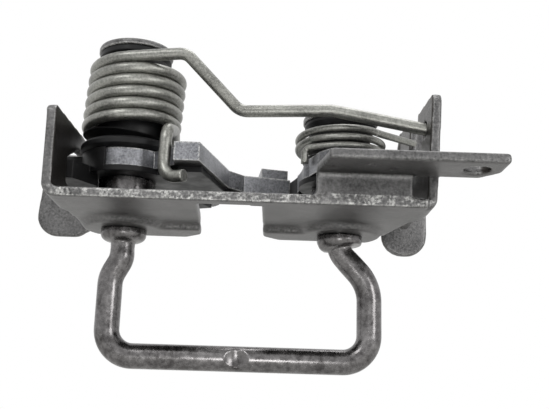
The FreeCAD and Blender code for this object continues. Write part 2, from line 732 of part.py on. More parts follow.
# Caps: pressed steel washers that close each stack under the staked pin
for name, mark, low in (("ratchet_cap", "-", "ratchet_cap_z"), ("pawl_cap", "", "pawl_cap_z")):
    cap = new_body(name, f"{mark}pin_x", "pin_y", low)
    turned(cap, "washer", [
        (bore_radius, "0"),
        ("cap_radius - cap_edge * 0.5", "0"),
        ("cap_radius", "cap_edge * 0.5"),
        ("cap_radius", "cap_rise - cap_edge"),
        ("cap_radius - cap_edge * 0.3", "cap_rise - cap_edge * 0.3"),
        ("cap_radius - cap_edge", "cap_rise"),
        (bore_radius, "cap_rise"),
    ])

# Ratchet plate: thick steel cut as one blank, with the spring lug, the throat for the striker and the nose
notch_x = "throat_radius * cos(throat_turn)"
notch_y = "throat_radius * sin(throat_turn)"
mouth_x = "throat_reach * sin(throat_turn)"
mouth_y = "throat_reach * cos(throat_turn)"
ratchet = new_body("ratchet_plate", "0", "0", "plate_low_z")
hub = new_sketch(ratchet, "hub_outline")
draw_circle(hub, "-pin_x", "pin_y", "hub_radius")
pad(ratchet, hub, "plate_rise", "hub")
fork = new_sketch(ratchet, "fork_outline")
draw_outline(fork, [
    ("-lug_left_x", "lug_near_y"),
    ("-lug_right_x", "lug_near_y"),
    ("-edge_x", "edge_y"),
    ("arm_near_x", "arm_near_y"),
    ("nose_near_x", "nose_near_y"),
    ("nose_far_x", "nose_far_y"),
    (f"-throat_x + {notch_x} + {mouth_x}", f"throat_y - {notch_y} + {mouth_y}"),
    (f"-throat_x + {notch_x}", f"throat_y - {notch_y}"),
    (f"-throat_x - {notch_x}", f"throat_y + {notch_y}"),
    (f"-throat_x - {notch_x} + {mouth_x}", f"throat_y + {notch_y} + {mouth_y}"),
    ("-keeper_x + 4.5", "keeper_y - 0.5"),
    ("-keeper_x", "keeper_y"),
    ("-keeper_back_x", "keeper_back_y"),
    ("-pin_x - 2.8", "pin_y + hub_radius - 0.3"),
    ("-lug_left_x - 7.8", "lug_back_y + 6.6"),
    ("-lug_left_x", "lug_back_y"),
])
pad(ratchet, fork, "plate_rise", "fork")
throat = new_sketch(ratchet, "throat_outline")
draw_circle(throat, "-throat_x", "throat_y", "throat_radius")
pocket(ratchet, throat, "plate_rise", "throat", back=True)
reach = new_sketch(ratchet, "reach_outline")
draw_circle(reach, "-pin_x", "pin_y", "nose_radius")
draw_circle(reach, "-pin_x", "pin_y", "nose_radius + 12")
pocket(ratchet, reach, "plate_rise", "reach", back=True)
nose = new_sketch(ratchet, "nose_outline", "XY", "plate_rise")
draw_outline(nose, [
    ("nose_near_x - 12", "nose_near_y - 2"),
    ("nose_near_x - 2.6", "nose_near_y + 0.3"),
    ("nose_near_x - 6.8", "nose_near_y + 9"),
    ("nose_near_x - 13", "nose_near_y + 8"),
])
pad(ratchet, nose, "nose_rise", "nose")
core = new_sketch(ratchet, "core_outline", "XY", "arm_core_skin - 1")
draw_outline(core, [
    ("-pin_x - hub_radius + 4.5", "arm_near_side_y + arm_core_inset"),
    ("-pin_x - hub_radius + 4.5", "arm_far_side_y - arm_core_inset"),
    ("-arm_end_x + arm_core_inset", "arm_far_side_y - arm_core_inset"),
    ("-arm_end_x + arm_core_inset", "arm_near_side_y + arm_core_inset"),
])
pad(ratchet, core, "plate_rise - arm_core_skin - 0.6", "core")
ratchet_bore = new_sketch(ratchet, "bore_outline")
draw_circle(ratchet_bore, "-pin_x", "pin_y", bore_radius)
pocket(ratchet, ratchet_bore, "plate_rise", "bore", back=True)

# Ratchet cover: moulded round the plate, below it and round its left arm, with the buffer that meets the wall
moulding = new_body("ratchet_moulding", "0", "0", "plate_low_z - skin")
disc = new_sketch(moulding, "disc_outline")
draw_circle(disc, "-pin_x", "pin_y", "cover_radius")
pad(moulding, disc, "skin + plate_rise", "disc")
band = new_sketch(moulding, "band_outline", "XY", "skin + plate_rise")
draw_outline(band, [
    ("-band_x", "pin_y - cover_radius - 1"),
    ("-pin_x + cover_radius + 1", "pin_y - cover_radius - 1"),
    ("-pin_x + cover_radius + 1", "pin_y + cover_radius + 1"),
    ("-band_x", "pin_y + cover_radius + 1"),
])
pocket(moulding, band, "plate_rise", "band")
under = new_sketch(moulding, "under_outline")
draw_outline(under, [
    ("-lug_left_x + 1", "lug_back_y + 1.1"),
    ("-lug_right_x + 0.5", "lug_back_y + 1.1"),
    ("-edge_x - 1.2", "edge_y + 0.5"),
    ("arm_near_x - 1.5", "arm_near_y + 0.8"),
    ("nose_near_x - 9", "nose_near_y - 0.5"),
    ("nose_near_x - 10", "nose_near_y + 8"),
    (f"-throat_x + {notch_x} + {mouth_x} + 0.6", f"throat_y - {notch_y} + {mouth_y} - 1.1"),
    (f"-throat_x + {notch_x} + 0.6", f"throat_y - {notch_y} - 0.6"),
    (f"-throat_x - {notch_x} - 0.6", f"throat_y + {notch_y} + 0.7"),
    ("-keeper_x + 4", "keeper_y - 6"),
    ("-keeper_x - 1", "keeper_y - 4"),
    ("-keeper_back_x", "keeper_back_y - 3.5"),
    ("-pin_x - 0.8", "pin_y + hub_radius - 1.3"),
    ("-lug_left_x - 7.8", "lug_back_y + 7.6"),
])
pad(moulding, under, "skin", "under")
clear_throat = new_sketch(moulding, "throat_outline")
draw_circle(clear_throat, "-throat_x", "throat_y", "throat_radius + 0.6")
pocket(moulding, clear_throat, "skin", "throat", back=True)
block = new_sketch(moulding, "arm_outline")
draw_outline(block, [
    ("-band_x + 0.6", "pin_y - cover_radius + 3.7"),
    ("-band_x", "arm_near_side_y - 7"),
    ("-arm_end_x + 12", "arm_near_side_y - 0.5"),
    ("-arm_end_x + 1", "arm_near_side_y"),
    ("-arm_end_x", "arm_near_side_y + 1"),
    ("-arm_end_x", "arm_far_side_y - 1"),
    ("-arm_end_x + 1", "arm_far_side_y"),
    ("-arm_end_x + 12", "arm_far_side_y + 1.5"),
    ("-band_x + 0.6", "arm_far_side_y + 3"),
])
pad(moulding, block, "skin + plate_rise", "arm")
buffer = new_sketch(moulding, "buffer_outline", "XY", "buffer_low_z - plate_low_z + skin")
draw_outline(buffer, [
    ("-arm_end_x", "window_near_y + contact_play"),
    ("-buffer_inner_x", "window_near_y + contact_play"),
    ("-band_x - 3", "buffer_root_y"),
    ("-band_x - 5", "arm_far_side_y - 5"),
    ("-arm_end_x", "arm_far_side_y - 5"),
])
pad(moulding, buffer, "buffer_rise", "buffer")
moulding_bore = new_sketch(moulding, "bore_outline", "XY", "-skin * 3")
draw_circle(moulding_bore, "-pin_x", "pin_y", bore_radius)
pocket(moulding, moulding_bore, "plate_rise * 3", "bore", back=True)
ratchet_cover = doc.addObject("Part::Cut", "ratchet_cover")
ratchet_cover.Base = moulding
ratchet_cover.Tool = ratchet
ratchet_cover.Label = "ratchet_cover"

# Pawl plate: the catch, cut from the same steel, with its face turned to the ratchet's reach
pawl = new_body("pawl_plate", "0", "0", "plate_low_z")
pawl_hub = new_sketch(pawl, "hub_outline")
draw_circle(pawl_hub, "pin_x", "pin_y", "pawl_hub_radius")
pad(pawl, pawl_hub, "plate_rise", "hub")
blade = new_sketch(pawl, "blade_outline")
draw_outline(blade, [
    ("pawl_near_x", "pawl_near_y"),
    ("pawl_near_x + 14.6", "pawl_near_y + 2.5"),
    ("pawl_tail_x - 2.5", "pawl_tail_y - 5"),
    ("pawl_tail_x", "pawl_tail_y"),
    ("pawl_tail_x", "pawl_tail_far_y"),
    ("pawl_tail_x - 6", "pawl_far_y - 3.8"),
    ("pin_x + 2.8", "pawl_far_y + 0.2"),
    ("pawl_face_x - 0.9", "pawl_far_y - 0.3"),
    ("pawl_face_x - 4.9", "pawl_tip_y - 0.5"),
    ("pawl_face_x - 3.4", "pawl_face_y + 6"),
    ("pawl_face_x - 1.3", "pawl_face_y + 3"),
    ("pawl_face_x + 0.1", "pawl_face_y - 1"),
    ("pawl_side_x", "pawl_side_y"),
])
pad(pawl, blade, "plate_rise", "blade")
face = new_sketch(pawl, "face_outline")
draw_circle(face, "-pin_x", "pin_y", "nose_radius + pawl_play")
pocket(pawl, face, "plate_rise", "face", back=True)
pawl_bore = new_sketch(pawl, "bore_outline")
draw_circle(pawl_bore, "pin_x", "pin_y", bore_radius)
pocket(pawl, pawl_bore, "plate_rise", "bore", back=True)

# Pawl cover: the moulded skin under the pawl and round its tail
pawl_moulding = new_body("pawl_moulding", "0", "0", "plate_low_z - skin")
pawl_disc = new_sketch(pawl_moulding, "disc_outline")
draw_circle(pawl_disc, "pin_x", "pin_y", "pawl_hub_radius")
pad(pawl_moulding, pawl_disc, "skin", "disc")
pawl_under = new_sketch(pawl_moulding, "under_outline")
draw_outline(pawl_under, [
    ("pawl_near_x + 2", "pawl_near_y + 3"),
    ("pawl_near_x + 12", "pawl_near_y + 4.2"),
    ("pawl_tail_x - 3.6", "pawl_tail_y - 3.6"),
    ("pawl_tail_x - 3.6", "pawl_tail_far_y + 3"),
    ("pin_x + 2.8", "pawl_far_y - 1"),
    ("pawl_face_x + 1.5", "pawl_far_y - 2"),
    ("pawl_face_x + 0.8", "pawl_face_y + 1.5"),
    ("pawl_side_x + 2", "pawl_side_y"),
])
pad(pawl_moulding, pawl_under, "skin", "under")
tail = new_sketch(pawl_moulding, "tail_outline")
draw_outline(tail, [
    ("pawl_tail_x - 6", "pawl_tail_y - 4"),
    ("pawl_tail_x + 0.6", "pawl_tail_y - 1.6"),
    ("pawl_tail_x + pawl_wrap", "pawl_tail_y - 0.4"),
    ("pawl_tail_x + pawl_wrap", "pawl_tail_far_y + 0.6"),
    ("pawl_tail_x - 6", "pawl_tail_far_y + 5.5"),
])
pad(pawl_moulding, tail, "skin + plate_rise", "tail")
tail_bore = new_sketch(pawl_moulding, "bore_outline", "XY", "-skin")
draw_circle(tail_bore, "pin_x", "pin_y", bore_radius)
pocket(pawl_moulding, tail_bore, "plate_rise * 3", "bore", back=True)
pawl_cover = doc.addObject("Part::Cut", "pawl_cover")
pawl_cover.Base = pawl_moulding
pawl_cover.Tool = pawl
pawl_cover.Label = "pawl_cover"


def rounded(corners, bends):
    """Straight runs through the corners, with a tangent arc of the given radius at each inner corner."""
    runs = []
    start = corners[0]
    for before, corner, after, bend in zip(corners, corners[1:], corners[2:], bends):
        to_before = (before - corner).normalize()
        to_after = (after - corner).normalize()
        half = math.acos(to_before.dot(to_after)) / 2
        to_middle = (to_before + to_after).normalize()
        first = corner + to_before * (bend / math.tan(half))
        last = corner + to_after * (bend / math.tan(half))
        crown = corner + to_middle * (bend / math.sin(half) - bend)
        runs.append(Part.LineSegment(start, first))
        runs.append(Part.Arc(first, crown, last))
        start = last
    runs.append(Part.LineSegment(start, corners[-1]))
    return [run.toShape() for run in runs]


def coil(centre, radius, start, half_turns, rest, pitch, lean=0):
    """Half turns as tilted half circles that meet level, then a rest of a turn in degrees. Also gives the
    coil's first and last point and the direction in which it ends."""
    side = FreeCAD.Vector(math.cos(math.radians(start)), math.sin(math.radians(start)), 0)
    level = FreeCAD.Vector(-side.y, side.x, 0)
    rise = FreeCAD.Vector(math.tan(math.radians(lean)), 0, 1) * (pitch / 2)
    arcs = []
    for k in range(half_turns + 1):
        sign = 1 - 2 * (k % 2)
        first = centre + rise * k + side * (radius * sign)
        last = centre + rise * (k + 1) - side * (radius * sign)
        middle = (first + last) / 2
        out = first - middle
        turn = math.pi if k < half_turns else math.radians(rest)
        along = level * (out.Length * sign)
        crown = middle + out * math.cos(turn / 2) + along * math.sin(turn / 2)
        end = middle + out * math.cos(turn) + along * math.sin(turn)
        arcs.append(Part.Arc(first, crown, end).toShape())
    way = along * math.cos(turn) - out * math.sin(turn)
    return arcs, centre + side * radius, end, level * -1, way.normalize()


def drawn_wire(runs, radius):
    """A round wire along straight runs and arcs that meet smoothly."""
    spine = Part.Wire(runs)
    start = runs[0].valueAt(runs[0].FirstParameter)
    along = runs[0].tangentAt(runs[0].FirstParameter)
    section = Part.Face(Part.Wire([Part.Circle(start, along, radius).toShape()]))
    solid = spine.makePipe(section)
    if not solid.isValid() or abs(solid.Volume / (math.pi * radius ** 2 * spine.Length) - 1) > 0.01:
        raise ValueError("the wire is not swept cleanly")
    return solid


def corner(*rules):
    """A point from three rules."""
    return FreeCAD.Vector(*(amount(r) for r in rules))


# Ratchet spring: heavy round wire, one end hooked under the ratchet's lug, the other anchored in the flange
turns, low_end, high_end, down_run, up_run = coil(
    corner("-pin_x", "pin_y", "ratchet_coil_z"), amount("ratchet_coil_radius"), 0,
    RATCHET_HALF_TURNS, amount("ratchet_coil_rest"), amount("ratchet_pitch"), amount("ratchet_coil_lean"))
hook = rounded([
    corner("-hook_end_x", "hook_y - 1", "hook_low_z"),
    corner("-lug_left_x - 2.3", "hook_y", "hook_low_z"),
    corner("-lug_left_x - 2.4", "hook_y + 0.4", "hook_top_z"),
    low_end + down_run * amount("hook_run"),
    low_end,
], [amount("hook_bend")] * 2 + [amount("wire_bend")])
hold = corner("right_wall_x - sheet / 2 + anchor_z * tan(right_splay)", "anchor_y", "anchor_z")
elbow = corner("elbow_x", "elbow_y", "elbow_z")
arm = rounded([
    high_end,
    high_end + up_run * (amount("pin_x - shoulder_x") / up_run.x),
    corner("knee_x", "knee_y", "knee_z"),
    elbow,
    hold + (hold - elbow).normalize() * amount("sheet * 0.8"),
], [amount("wire_bend")] + [amount("wire_bend * 1.2")] * 2)
ratchet_spring = doc.addObject("Part::Feature", "ratchet_spring")
ratchet_spring.Label = "ratchet_spring"
ratchet_spring.Shape = drawn_wire(hook + turns + arm, amount("ratchet_wire / 2"))
tie(ratchet_spring, "Placement.Base.y", "-ear_near_y - sheet")
tie(ratchet_spring, "Placement.Base.z", "-ear_bolt_z")

# Pawl spring: lighter wire round the pawl's bush, from the pawl's side to the far flange
turns, low_end, high_end, down_run, up_run = coil(
    corner("pin_x", "pin_y", "pawl_coil_z"), amount("pawl_coil_radius"), amount("pawl_start"),
    PAWL_HALF_TURNS, amount("pawl_coil_rest"), amount("pawl_pitch"))
down = low_end + down_run * amount("pawl_foot_run")
foot = rounded([
    FreeCAD.Vector(down.x, down.y, amount("pawl_leg_low_z")),
    down,
    low_end,
], [amount("pawl_wire_bend")])
rest = corner("far_rest_x", "far_flange_y - pawl_wire / 2 - contact_play", "pawl_leg_z")
leg = rounded([
    high_end,
    high_end + up_run * amount("pawl_foot_run * 0.6"),
    rest,
], [amount("pawl_wire_bend * 2")])
pawl_spring = doc.addObject("Part::Feature", "pawl_spring")
pawl_spring.Label = "pawl_spring"
pawl_spring.Shape = drawn_wire(foot + turns + leg, amount("pawl_wire / 2"))
tie(pawl_spring, "Placement.Base.y", "-ear_near_y - sheet")
tie(pawl_spring, "Placement.Base.z", "-ear_bolt_z")

doc.recompute()
for thing in doc.Objects:
    if {"Invalid", "Error"} & set(thing.State):
        raise ValueError(f"{thing.Name} has a fault")

NODES = [
    "base_plate", "guard_loop", "ratchet_spacer", "pawl_spacer", "ratchet_bush", "pawl_bush", "ratchet_cap",
    "pawl_cap", "ratchet_plate", "ratchet_cover", "pawl_plate", "pawl_cover", "ratchet_spring", "pawl_spring",
]
os.makedirs("parts", exist_ok=True)
for node in NODES:
    shape = doc.getObject(node).Shape
    if shape.isNull() or not shape.isValid() or len(shape.Solids) != 1:
        raise ValueError(f"{node} isn't one sound solid")
    shape.exportStep(f"parts/{node}.step")
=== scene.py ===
import math

import bmesh
import bpy
import numpy as np
from mathutils import Matrix


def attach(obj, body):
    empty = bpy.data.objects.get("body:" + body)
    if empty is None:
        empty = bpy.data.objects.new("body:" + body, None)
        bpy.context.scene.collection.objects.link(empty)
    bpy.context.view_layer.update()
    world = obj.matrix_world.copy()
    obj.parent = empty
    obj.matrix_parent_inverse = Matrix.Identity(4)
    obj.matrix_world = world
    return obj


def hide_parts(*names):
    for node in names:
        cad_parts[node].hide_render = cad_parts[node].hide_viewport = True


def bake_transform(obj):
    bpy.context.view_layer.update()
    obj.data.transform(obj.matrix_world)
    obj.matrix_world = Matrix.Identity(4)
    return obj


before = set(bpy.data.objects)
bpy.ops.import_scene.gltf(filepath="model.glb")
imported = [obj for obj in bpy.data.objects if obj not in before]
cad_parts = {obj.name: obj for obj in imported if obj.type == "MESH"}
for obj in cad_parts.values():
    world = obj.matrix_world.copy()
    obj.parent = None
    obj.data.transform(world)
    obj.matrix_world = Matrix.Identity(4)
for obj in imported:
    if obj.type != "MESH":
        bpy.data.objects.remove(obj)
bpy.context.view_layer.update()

# Camera: it stands a little below the latch's floor and looks up at its near edge, as in the photograph.
# A long lens keeps the folded walls nearly upright, and a small roll follows how the latch was held.
CAMERA_AT = (0.0090, -0.2960, -0.0742)
CAMERA_AZIMUTH = 1.0
CAMERA_ELEVATION = 13.9
CAMERA_ROLL = 1.7
CAMERA_LENS = 54.6


def camera_axes(azimuth, elevation, roll):
    """Right, up and backward of a rolled camera that looks along azimuth (0 is +Y) and elevation."""
    a, e, r = (math.radians(v) for v in (azimuth, elevation, roll))
    forward = np.array([math.sin(a) * math.cos(e), math.cos(a) * math.cos(e), math.sin(e)])
    right = np.array([math.cos(a), -math.sin(a), 0.0])
    up = np.cross(right, forward)
    return math.cos(r) * right + math.sin(r) * up, math.cos(r) * up - math.sin(r) * right, -forward


camera = bpy.data.objects.new("camera", bpy.data.cameras.new("camera"))
camera.data.lens = CAMERA_LENS
camera.data.sensor_width = 36.0
camera.data.clip_start = 0.005
axes = np.column_stack(camera_axes(CAMERA_AZIMUTH, CAMERA_ELEVATION, CAMERA_ROLL))
camera.matrix_world = Matrix([[*axes[i], CAMERA_AT[i]] for i in range(3)] + [[0, 0, 0, 1]])
bpy.context.scene.collection.objects.link(camera)
bpy.context.scene.camera = camera
bpy.context.scene.view_settings.view_transform = "Standard"


# Studio: a pale sweep below the latch and a white surround, as for a catalogue picture on white.
# Four soft square lamps stand to the left, to the right, above, and low in front of the bar, so that edges
# catch light and the folds fall off to grey.
FLOOR_HEX = "e2e2e0"
FLOOR_Z = -0.125
SURROUND_LIGHT = 0.75
DOME_FADE = (-0.2, 0.9)
DOME_SHARE = (0.45, 1.5)


def linear(hex_colour):
    """The linear RGBA of an sRGB hex colour."""
    parts = np.array([int(hex_colour[i:i + 2], 16) / 255 for i in (0, 2, 4)])
    return (*np.where(parts <= 0.04045, parts / 12.92, ((parts + 0.055) / 1.055) ** 2.4).tolist(), 1.0)


def node(tree, kind, feeds=None, **settings):
    """Adds one node. Settings are its own properties, and feeds maps an input to a value or to an output."""
    made = tree.nodes.new(kind)
    for name, value in settings.items():
        setattr(made, name, value)
    for name, feed in (feeds or {}).items():
        if isinstance(feed, bpy.types.NodeSocket):
            tree.links.new(feed, made.inputs[name])
        else:
            made.inputs[name].default_value = feed
    return made


def new_material(name):
    """An empty material with its output and its tree."""
    material = bpy.data.materials.new(name)
    material.use_nodes = True
    material.node_tree.nodes.clear()
    return material, material.node_tree, node(material.node_tree, "ShaderNodeOutputMaterial")


def mesh_object(name, points, faces, smooth=True):
    """A mesh object in the latch's own frame."""
    mesh = bpy.data.meshes.new(name)
    mesh.from_pydata(points.tolist(), [], faces)
    mesh.polygons.foreach_set("use_smooth", [smooth] * len(mesh.polygons))
    made = bpy.data.objects.new(name, mesh)
    bpy.context.scene.collection.objects.link(made)
    return made


floor_material, tree, output = new_material("pale_floor")
shader = node(tree, "ShaderNodeBsdfPrincipled", {"Base Color": linear(FLOOR_HEX), "Roughness": 0.9})
tree.links.new(shader.outputs[0], output.inputs[0])
corners = np.array([[-3, -3, FLOOR_Z], [3, -3, FLOOR_Z], [3, 3, FLOOR_Z], [-3, 3, FLOOR_Z]])
floor = mesh_object("floor", corners, [(0, 1, 2, 3)], smooth=False)
floor.data.materials.append(floor_material)

world = bpy.data.worlds.new("surround")
bpy.context.scene.world = world
world.use_nodes = True
tree = world.node_tree
tree.nodes.clear()
ray = node(tree, "ShaderNodeLightPath")
glossy = node(tree, "ShaderNodeMath", {0: ray.outputs["Is Camera Ray"], 1: ray.outputs["Is Glossy Ray"]},
              operation="MAXIMUM")
seen = node(tree, "ShaderNodeMath", {0: glossy.outputs[0], 1: ray.outputs["Is Transmission Ray"]},
            operation="MAXIMUM")
place = node(tree, "ShaderNodeTexCoord")
height = node(tree, "ShaderNodeSeparateXYZ", {0: place.outputs["Generated"]})
dome = node(tree, "ShaderNodeMapRange", {"Value": height.outputs["Z"],
                                         "From Min": DOME_FADE[0], "From Max": DOME_FADE[1],
                                         "To Min": SURROUND_LIGHT * DOME_SHARE[0],
                                         "To Max": SURROUND_LIGHT * DOME_SHARE[1]})
light = node(tree, "ShaderNodeMix", {"Factor": seen.outputs[0], "A": dome.outputs[0], "B": 1.0})
sky = node(tree, "ShaderNodeBackground", {"Color": (1.0, 1.0, 1.0, 1.0), "Strength": light.outputs[0]})
sky_out = node(tree, "ShaderNodeOutputWorld")
tree.links.new(sky.outputs[0], sky_out.inputs[0])


def soft_lamp(name, at, aim, size, power):
    """A square lamp of one size, turned from where it stands to what it lights."""
    lamp = bpy.data.objects.new(name, bpy.data.lights.new(name, "AREA"))
    lamp.data.size = size
    lamp.data.energy = power
    back = np.subtract(at, aim) / np.linalg.norm(np.subtract(at, aim))
    right = np.cross((0, 0, 1), back)
    right /= np.linalg.norm(right)
    turn = np.column_stack([right, np.cross(back, right), back])
    lamp.matrix_world = Matrix([[*turn[i], at[i]] for i in range(3)] + [[0, 0, 0, 1]])
    bpy.context.scene.collection.objects.link(lamp)


soft_lamp("key", (-0.30, -0.55, 0.50), (0, -0.03, 0), 0.16, 1.3)
soft_lamp("fill", (0.50, -0.55, 0.12), (0, -0.03, -0.02), 0.22, 1.1)
soft_lamp("low", (0.01, -0.34, -0.105), (0.003, -0.03, -0.060), 0.05, 0.16)
soft_lamp("top", (0.1, 0.10, 0.7), (0, -0.03, 0), 0.30, 1.3)


# Base plate: 3 mm sheet steel, blanked, folded and embossed, then zinc plated and passivated. The plating is
# a soft grey with a fine crystal mottle and dark brown stains, brighter where edges were sheared and rubbed.
RUBBED_HEX = "dcdcd8"
# The stain colour is also the colour of the painted shade on inner wall faces and undersides.
STAIN_AND_SHADE_HEX = "2e2a26"
FLAKE_MM = 3.2
CLOUD_MM = 11.0
BLOT_MM = 6.0
CUT_EDGE_TOP_Z = -0.0132
CUT_EDGE_BACK_Y = -0.02
WALL_INSIDE = (-0.030, -0.045)
UNDERSIDE = (-0.6, -0.95)


def sheared_faces(tree, spot, normal):
    """One on the floor's own cut edge that faces along Y, and nought on the walls, the step and the flats."""
    way = node(tree, "ShaderNodeSeparateXYZ", {0: normal})
    at = node(tree, "ShaderNodeSeparateXYZ", {0: spot})
    square = node(tree, "ShaderNodeMath", {0: way.outputs["Y"], 1: way.outputs["Y"]}, operation="MULTIPLY")
    facing = node(tree, "ShaderNodeMapRange", {"Value": square.outputs[0],
                                               "From Min": 0.5, "From Max": 0.95})
    low = node(tree, "ShaderNodeMath", {0: at.outputs["Z"], 1: CUT_EDGE_TOP_Z}, operation="LESS_THAN")
    near = node(tree, "ShaderNodeMath", {0: at.outputs["Y"], 1: CUT_EDGE_BACK_Y}, operation="LESS_THAN")
    band = node(tree, "ShaderNodeMath", {0: low.outputs[0], 1: near.outputs[0]}, operation="MULTIPLY")
    flake = node(tree, "ShaderNodeTexNoise", {"Vector": spot, "Scale": 1000 / FLAKE_MM, "Detail": 4.0,
                                             "Roughness": 0.7})
    patch = node(tree, "ShaderNodeMapRange", {"Value": flake.outputs[0], "From Min": 0.46, "From Max": 0.62,
                                              "To Min": 0.12})
    cut = node(tree, "ShaderNodeMath", {0: facing.outputs[0], 1: band.outputs[0]}, operation="MULTIPLY")
    bright = node(tree, "ShaderNodeMath", {0: cut.outputs[0], 1: patch.outputs[0]}, operation="MULTIPLY")
    return bright.outputs[0]


def painted_shade_faces(tree, spot, normal, on_walls, below):
    """How dark the painted shade lies: on the walls' inner faces, where x times the normal's x is well under
    nought, and on undersides, where the normal points down."""
    turned = node(tree, "ShaderNodeVectorMath", {0: spot, 1: normal}, operation="MULTIPLY")
    inward = node(tree, "ShaderNodeSeparateXYZ", {0: turned.outputs[0]})
    way = node(tree, "ShaderNodeSeparateXYZ", {0: normal})
    inner = node(tree, "ShaderNodeMapRange", {"Value": inward.outputs["X"], "From Min": WALL_INSIDE[0],
                                              "From Max": WALL_INSIDE[1], "To Max": on_walls})
    under = node(tree, "ShaderNodeMapRange", {"Value": way.outputs["Z"], "From Min": UNDERSIDE[0],
                                              "From Max": UNDERSIDE[1], "To Max": below})
    darker = node(tree, "ShaderNodeMath", {0: inner.outputs[0], 1: under.outputs[0]}, operation="MAXIMUM")
    return darker.outputs[0]


def plated_steel(name, light_hex, dark_hex, roughness, grain_mm=0.8, wear=0.5, stain=0.25, metal=0.9,
                 relief=0.5, sheared=0.0, shade_depths=(0.0, 0.0)):
    """Zinc on steel: two sizes of mottle between a light and a dark grey, rubbed edges, dark stains, and
    painted shade on inner wall faces and undersides.
    """
    material, tree, output = new_material(name)
    spot = node(tree, "ShaderNodeTexCoord").outputs["Object"]
    grain = node(tree, "ShaderNodeTexNoise", {"Vector": spot, "Scale": 1000 / grain_mm, "Detail": 5.0,
                                             "Roughness": 0.7})
    cloud = node(tree, "ShaderNodeTexNoise", {"Vector": spot, "Scale": 1000 / CLOUD_MM, "Detail": 6.0,
                                             "Roughness": 0.6})
    blot = node(tree, "ShaderNodeTexNoise", {"Vector": spot, "Scale": 1000 / BLOT_MM, "Detail": 8.0,
                                            "Roughness": 0.75, "Distortion": 0.6})
    mottle = node(tree, "ShaderNodeMath", {0: grain.outputs[0], 1: 0.6}, operation="MULTIPLY")
    mottle = node(tree, "ShaderNodeMath", {0: cloud.outputs[0], 1: 0.4, 2: mottle.outputs[0]},
                  operation="MULTIPLY_ADD")
    tone = node(tree, "ShaderNodeMapRange", {"Value": mottle.outputs[0], "From Min": 0.36, "From Max": 0.64})
    grey = node(tree, "ShaderNodeMix", {"Factor": tone.outputs[0], 6: linear(dark_hex),
                                        7: linear(light_hex)}, data_type="RGBA")
    rubbed = node(tree, "ShaderNodeBevel", {"Radius": 0.0010}, samples=6)
    shape = node(tree, "ShaderNodeNewGeometry")
    same = node(tree, "ShaderNodeVectorMath", {0: rubbed.outputs[0], 1: shape.outputs["Normal"]},
                operation="DOT_PRODUCT")
    edge = node(tree, "ShaderNodeMapRange", {"Value": same.outputs["Value"], "From Min": 0.997,
                                             "From Max": 0.88, "To Max": wear})
    patchy = node(tree, "ShaderNodeMapRange", {"Value": grain.outputs[0],
                                               "From Min": 0.36, "From Max": 0.60})
    if sheared:
        cut = sheared_faces(tree, spot, shape.outputs["Normal"])
        edge = node(tree, "ShaderNodeMath", {0: cut, 1: sheared, 2: edge.outputs[0]},
                    operation="MULTIPLY_ADD", use_clamp=True)
    broken = node(tree, "ShaderNodeMath", {0: edge.outputs[0], 1: patchy.outputs[0]}, operation="MULTIPLY")
    bright = node(tree, "ShaderNodeMix", {"Factor": broken.outputs[0], 6: grey.outputs[2],
                                          7: linear(RUBBED_HEX)}, data_type="RGBA")
    stained = node(tree, "ShaderNodeMapRange", {"Value": blot.outputs[0], "From Min": 0.56, "From Max": 0.70,
                                                "To Max": stain})
    # Painted shade: the walls' inner faces and the undersides are mixed towards the stain colour, as if shade
    # lay there.
    shade_mask = painted_shade_faces(tree, spot, shape.outputs["Normal"], *shade_depths)
    stain_and_shade = node(tree, "ShaderNodeMath", {0: stained.outputs[0], 1: shade_mask}, operation="MAXIMUM")
    colour = node(tree, "ShaderNodeMix", {"Factor": stain_and_shade.outputs[0], 6: bright.outputs[2],
                                          7: linear(STAIN_AND_SHADE_HEX)}, data_type="RGBA")
    gloss = node(tree, "ShaderNodeMapRange", {"Value": grain.outputs[0], "From Min": 0.3, "From Max": 0.7,
                                              "To Min": roughness - 0.07, "To Max": roughness + 0.10})
    rounded = node(tree, "ShaderNodeBevel", {"Radius": 0.00035}, samples=4)
    pits = node(tree, "ShaderNodeBump", {"Height": grain.outputs[0], "Strength": relief, "Distance": 0.00015,
                                         "Normal": rounded.outputs[0]})
    swells = node(tree, "ShaderNodeBump", {"Height": cloud.outputs[0], "Strength": relief * 0.7,
                                           "Distance": 0.0006, "Normal": pits.outputs[0]})
    steel = node(tree, "ShaderNodeBsdfPrincipled", {"Base Color": colour.outputs[2], "Metallic": metal,
                                                    "Roughness": gloss.outputs[0],
                                                    "Normal": swells.outputs[0]})
    tree.links.new(steel.outputs[0], output.inputs[0])
    return material


def dress(name, material):
    """Gives a carried-over node its one material."""
    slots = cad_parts[name].data.materials
    slots.clear()
    slots.append(material)


def softened(name, source, voxel, rounds):
    """A carried-over node with its corners rubbed round: its own mesh, merged, laid on a grid of small cubes,
    and each point then moved halfway to the middle of its neighbours, a few times over."""
    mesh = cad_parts[source].data.copy()
    work = bmesh.new()
    work.from_mesh(mesh)
    bmesh.ops.remove_doubles(work, verts=work.verts, dist=0.000002)
    work.to_mesh(mesh)
    work.free()
    raw = bpy.data.objects.new(name, mesh)
    bpy.context.scene.collection.objects.link(raw)
    grid = raw.modifiers.new("grid", "REMESH")
    grid.mode = "VOXEL"
    grid.voxel_size = voxel
    grid.use_smooth_shade = True
    rub = raw.modifiers.new("rub", "SMOOTH")
    rub.factor = 0.5
    rub.iterations = rounds
    raw.data = bpy.data.meshes.new_from_object(raw.evaluated_get(bpy.context.evaluated_depsgraph_get()))
    raw.modifiers.clear()
    return raw


def pushed_along_y(piece, push):
    """Moves each vertex of a piece along Y, by what push gives for the array of all their places."""
    places = np.empty(len(piece.data.vertices) * 3)
    piece.data.vertices.foreach_get("co", places)
    places = places.reshape(-1, 3)
    places[:, 1] += push(places)
    piece.data.vertices.foreach_set("co", places.ravel())


